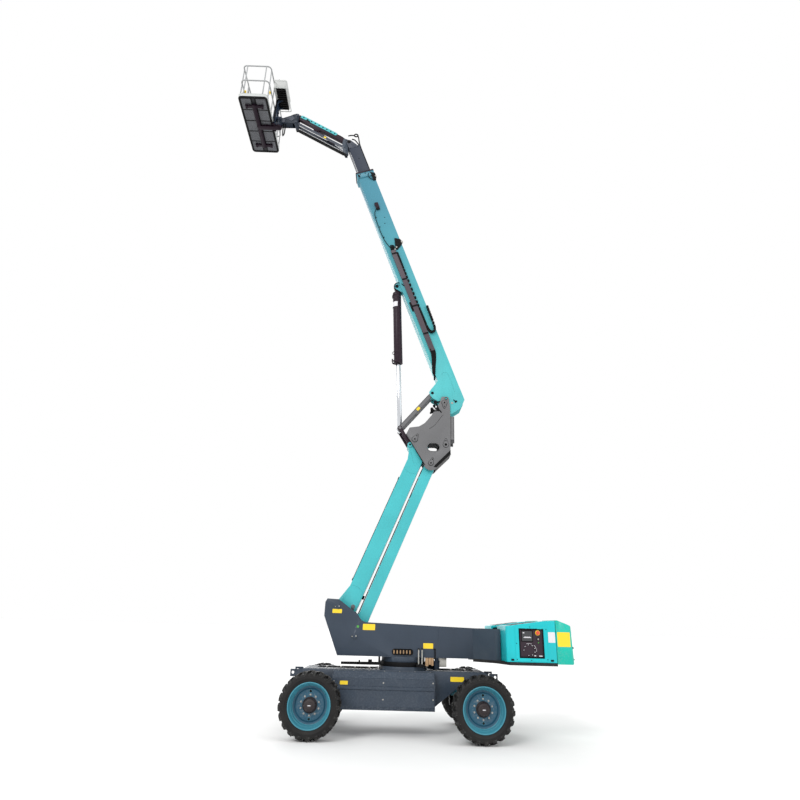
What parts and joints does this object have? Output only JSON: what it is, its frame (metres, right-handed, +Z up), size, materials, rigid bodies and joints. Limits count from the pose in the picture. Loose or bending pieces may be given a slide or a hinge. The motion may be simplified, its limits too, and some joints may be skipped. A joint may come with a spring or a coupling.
{
  "type": "articulated boom lift",
  "caption": "Self-propelled articulated boom lift with a slewing turntable, telescopic upper boom, jib and railed work basket, parked with its booms raised.",
  "frame": {"origin": "on the floor under the slewing axis", "axes": "+Z up, -X toward the front of the chassis and the basket, +Y toward the machine's right side"},
  "size_m": [7.3677, 2.47, 15.1989],
  "materials": {
    "tyre_rubber": "matte",
    "rim_paint": "satin",
    "frame_paint": "satin",
    "teal_paint": "gloss",
    "grey_paint": "satin",
    "dark_paint": "satin",
    "chrome_rod": "polished",
    "rail_paint": "satin",
    "floor_metal": "matte",
    "panel_shell": "satin",
    "engine_iron": "matte",
    "black_paint": "satin"
  },
  "bodies": {
    "chassis": {"chassis_frame": "frame_paint", "side_cover_left": "frame_paint", "side_cover_right": "frame_paint", "front_axle": "black_paint", "rear_axle": "black_paint", "slew_ring": "black_paint"},
    "knuckle_left": {"steering_knuckle_left": "black_paint"},
    "knuckle_right": {"steering_knuckle_right": "black_paint"},
    "wheel_front_left": {"tyre_front_left": "tyre_rubber", "rim_front_left": "rim_paint"},
    "wheel_front_right": {"tyre_front_right": "tyre_rubber", "rim_front_right": "rim_paint"},
    "wheel_rear_left": {"tyre_rear_left": "tyre_rubber", "rim_rear_left": "rim_paint"},
    "wheel_rear_right": {"tyre_rear_right": "tyre_rubber", "rim_rear_right": "rim_paint"},
    "turntable": {"turntable_frame": "frame_paint", "tail_frame": "frame_paint", "counterweight": "teal_paint", "ground_control_panel": "panel_shell", "engine_block": "engine_iron", "slew_drive": "black_paint", "valve_block": "black_paint"},
    "hood_left": {"hood_left": "teal_paint"},
    "hood_right": {"hood_right": "teal_paint"},
    "tower_boom": {"lower_boom": "teal_paint"},
    "tower_link": {"lower_link": "teal_paint"},
    "knuckle": {"boom_knuckle": "grey_paint"},
    "tower_barrels": {"tower_cylinder_barrels": "black_paint"},
    "tower_rods": {"tower_cylinder_rods": "chrome_rod"},
    "upper_boom": {"upper_boom": "teal_paint", "hose_tray": "black_paint"},
    "guide_link": {"guide_link": "grey_paint"},
    "thrust_link": {"thrust_link": "black_paint"},
    "lift_barrel": {"lift_cylinder_barrel": "black_paint"},
    "lift_rod": {"lift_cylinder_rod": "chrome_rod"},
    "fly": {"fly_boom": "dark_paint"},
    "jib_bracket": {"jib_bracket": "grey_paint"},
    "jib": {"jib": "black_paint", "jib_guard": "teal_paint"},
    "jib_link": {"jib_link": "black_paint"},
    "hose_bar": {"hose_bar": "black_paint"},
    "jib_barrel": {"jib_cylinder_barrel": "black_paint"},
    "jib_rod": {"jib_cylinder_rod": "chrome_rod"},
    "basket_mount": {"basket_mount": "dark_paint"},
    "basket": {"basket_carrier": "dark_paint", "basket_floor": "floor_metal", "basket_rails_end_left": "rail_paint", "basket_rails_end_right": "rail_paint", "basket_rails_front_left": "rail_paint", "basket_rails_front_right": "rail_paint", "basket_rails_rear": "rail_paint", "control_console": "panel_shell"},
    "gate": {"basket_gate": "rail_paint"}
  },
  "joints": [
    {"name": "steer_right", "type": "hinge", "parent": "chassis", "child": "knuckle_right", "pos_m": [-1.545, 0.9, 0.515], "axis": [0, 0, 1], "range_deg": [-25, 25]},
    {"name": "steer_left", "type": "hinge", "parent": "chassis", "child": "knuckle_left", "pos_m": [-1.545, -0.9, 0.515], "axis": [0, 0, 1], "range_deg": [-25, 25]},
    {"name": "wheel_front_left_spin", "type": "hinge", "parent": "knuckle_left", "child": "wheel_front_left", "pos_m": [-1.545, 0, 0.515], "axis": [0, 1, 0], "continuous": true},
    {"name": "wheel_front_right_spin", "type": "hinge", "parent": "knuckle_right", "child": "wheel_front_right", "pos_m": [-1.545, 0, 0.515], "axis": [0, 1, 0], "continuous": true},
    {"name": "wheel_rear_left_spin", "type": "hinge", "parent": "chassis", "child": "wheel_rear_left", "pos_m": [1.305, 0, 0.515], "axis": [0, 1, 0], "continuous": true},
    {"name": "wheel_rear_right_spin", "type": "hinge", "parent": "chassis", "child": "wheel_rear_right", "pos_m": [1.305, 0, 0.515], "axis": [0, 1, 0], "continuous": true},
    {"name": "slew", "type": "hinge", "parent": "chassis", "child": "turntable", "pos_m": [0, 0, 1.15], "axis": [0, 0, 1], "continuous": true},
    {"name": "hood_left_hinge", "type": "hinge", "parent": "turntable", "child": "hood_left", "pos_m": [2.1, -0.36, 1.765], "axis": [-1, 0, 0], "range_deg": [0, 50]},
    {"name": "hood_right_hinge", "type": "hinge", "parent": "turntable", "child": "hood_right", "pos_m": [2.1, 0.36, 1.765], "axis": [1, 0, 0], "range_deg": [0, 50]},
    {"name": "tower_lift", "type": "hinge", "parent": "turntable", "child": "tower_boom", "pos_m": [-1.24, 0, 2.065], "axis": [0, -1, 0], "range_deg": [-62.5, 4.5]},
    {"name": "tower_link_pivot", "type": "hinge", "parent": "turntable", "child": "tower_link", "pos_m": [-0.9, 0, 1.56], "axis": [0, -1, 0], "range_deg": [-63.5, 5]},
    {"name": "knuckle_level", "type": "hinge", "parent": "tower_boom", "child": "knuckle", "pos_m": [0.14225, 0, 5.40205], "axis": [0, -1, 0], "range_deg": [-5, 63.5]},
    {"name": "tower_barrel_pivot", "type": "hinge", "parent": "turntable", "child": "tower_barrels", "pos_m": [-1.13, 0, 1.345], "axis": [0, -1, 0], "range_deg": [-5, 15]},
    {"name": "tower_rod_slide", "type": "slide", "parent": "tower_barrels", "child": "tower_rods", "axis": [0.2192, 0, 0.9757], "range_m": [-0.3, 0.04]},
    {"name": "upper_lift", "type": "hinge", "parent": "knuckle", "child": "upper_boom", "pos_m": [0.76525, 0, 6.24105], "axis": [0, 1, 0], "range_deg": [-70, 2]},
    {"name": "guide_link_pivot", "type": "hinge", "parent": "upper_boom", "child": "guide_link", "pos_m": [0.50871, 0, 6.47225], "axis": [0, 1, 0], "range_deg": [-8, 83]},
    {"name": "thrust_link_pivot", "type": "hinge", "parent": "guide_link", "child": "thrust_link", "pos_m": [-0.17558, 0, 5.65618], "axis": [0, 1, 0], "range_deg": [-57, 7]},
    {"name": "lift_barrel_pivot", "type": "hinge", "parent": "upper_boom", "child": "lift_barrel", "pos_m": [-0.33423, 0, 9.17707], "axis": [0, 1, 0], "range_deg": [-3, 7]},
    {"name": "lift_rod_slide", "type": "slide", "parent": "lift_barrel", "child": "lift_rod", "axis": [0.045, 0, -0.999], "range_m": [-1.4, 0.12]},
    {"name": "fly_extend", "type": "slide", "parent": "upper_boom", "child": "fly", "axis": [-0.342, 0, 0.9397], "range_m": [-0.6, 3.9]},
    {"name": "jib_bracket_level", "type": "hinge", "parent": "fly", "child": "jib_bracket", "pos_m": [-1.7035, 0, 13.50049], "axis": [0, 1, 0], "range_deg": [-3, 71]},
    {"name": "jib_lift", "type": "hinge", "parent": "jib_bracket", "child": "jib", "pos_m": [-1.7955, 0, 13.58549], "axis": [0, 1, 0], "range_deg": [-74, 34]},
    {"name": "jib_link_pivot", "type": "hinge", "parent": "jib_bracket", "child": "jib_link", "pos_m": [-1.8185, 0, 13.35649], "axis": [0, 1, 0], "range_deg": [-75, 35]},
    {"name": "hose_bar_pivot", "type": "hinge", "parent": "jib_bracket", "child": "hose_bar", "pos_m": [-1.7455, 0, 13.04549], "axis": [0, 1, 0], "range_deg": [-75, 35]},
    {"name": "basket_level", "type": "hinge", "parent": "jib", "child": "basket_mount", "pos_m": [-3.13268, 0, 14.38894], "axis": [0, 1, 0], "range_deg": [-35, 75]},
    {"name": "jib_barrel_pivot", "type": "hinge", "parent": "jib", "child": "jib_barrel", "pos_m": [-2.61846, 0, 13.9633], "axis": [0, 1, 0], "range_deg": [-15, 15]},
    {"name": "jib_rod_slide", "type": "slide", "parent": "jib_barrel", "child": "jib_rod", "axis": [0.7695, 0, -0.6386], "range_m": [-0.6, 0.2]},
    {"name": "basket_swing", "type": "hinge", "parent": "basket_mount", "child": "basket", "pos_m": [-3.60268, 0, 14.05895], "axis": [0, 0, 1], "range_deg": [-85, 85]},
    {"name": "gate_hinge", "type": "hinge", "parent": "basket", "child": "gate", "pos_m": [-4.47568, 0.3, 14.35895], "axis": [0, 0, 1], "range_deg": [0, 85]}
  ],
  "couplings": [
    {"joint": "steer_left", "follows": "steer_right", "ratio": 1},
    {"joint": "tower_link_pivot", "follows": "tower_lift", "ratio": 1},
    {"joint": "knuckle_level", "follows": "tower_lift", "ratio": -1},
    {"joint": "tower_barrel_pivot", "follows": "tower_lift", "ratio": -0.16181},
    {"joint": "tower_rod_slide", "follows": "tower_lift", "m_per_rad": 0.24113},
    {"joint": "guide_link_pivot", "follows": "upper_lift", "ratio": -1.154},
    {"joint": "thrust_link_pivot", "follows": "upper_lift", "ratio": 0.77354},
    {"joint": "lift_barrel_pivot", "follows": "upper_lift", "ratio": -0.064209},
    {"joint": "lift_rod_slide", "follows": "upper_lift", "m_per_rad": 1.1158},
    {"joint": "jib_bracket_level", "follows": "upper_lift", "ratio": -1},
    {"joint": "jib_link_pivot", "follows": "jib_lift", "ratio": 1},
    {"joint": "hose_bar_pivot", "follows": "jib_lift", "ratio": 1},
    {"joint": "basket_level", "follows": "jib_lift", "ratio": -1},
    {"joint": "jib_barrel_pivot", "follows": "jib_lift", "ratio": -0.074846},
    {"joint": "jib_rod_slide", "follows": "jib_lift", "m_per_rad": 0.29248}
  ]
}
